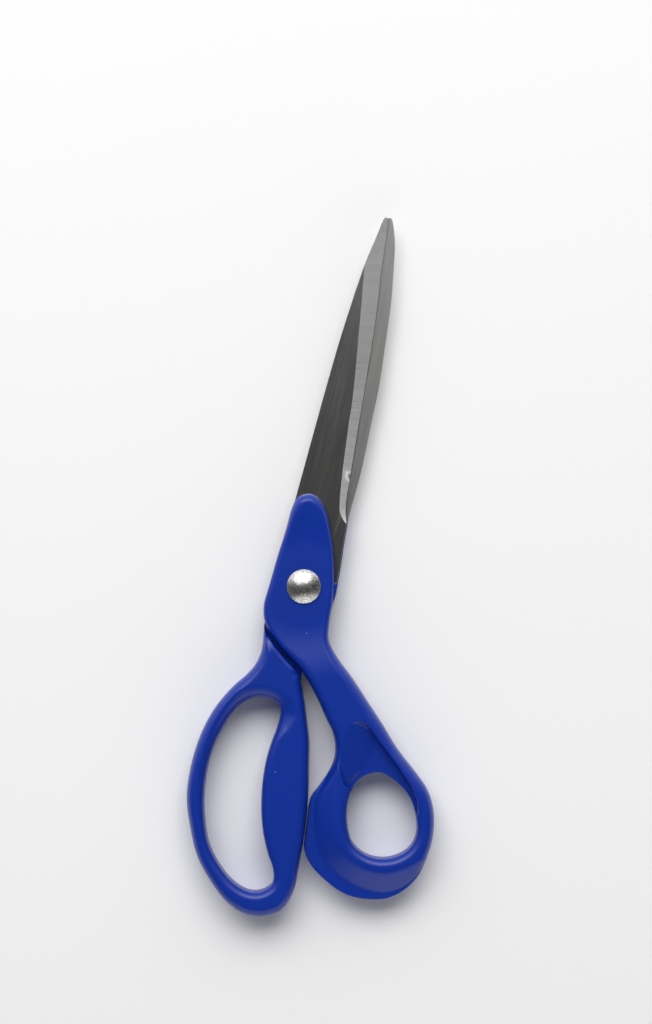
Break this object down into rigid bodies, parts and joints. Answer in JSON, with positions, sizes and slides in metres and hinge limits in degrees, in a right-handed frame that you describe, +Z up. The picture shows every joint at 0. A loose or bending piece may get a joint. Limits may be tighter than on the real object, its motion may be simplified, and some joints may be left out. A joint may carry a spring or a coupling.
{
  "type": "office scissors",
  "caption": "Right-handed office scissors with tapered steel blades on a domed rivet and moulded plastic handles, a thumb ring and a long finger loop.",
  "frame": {"origin": "on the pivot axis, in the plane that the closed scissors rest on, which is the underside of the rivet cap", "axes": "+Y along the closed blades from the pivot to their tips, +Z up through the rivet's domed head, +X to the thumb ring's side"},
  "size_m": [0.0764, 0.2156, 0.013],
  "materials": {
    "blade_steel": "brushed along the blade, with a cross-ground bevel",
    "handle_plastic": "moulded, soft gloss",
    "rivet_steel": "satin"
  },
  "bodies": {
    "back_half": {"back_blade": "blade_steel", "back_handle": "handle_plastic", "pivot_rivet": "rivet_steel", "rivet_cap": "rivet_steel"},
    "front_half": {"front_blade": "blade_steel", "front_handle": "handle_plastic"}
  },
  "joints": [
    {"name": "blade_pivot", "type": "hinge", "parent": "back_half", "child": "front_half", "pos_m": [0, 0, 0.006], "axis": [0, 0, 1], "range_deg": [0, 105]}
  ]
}
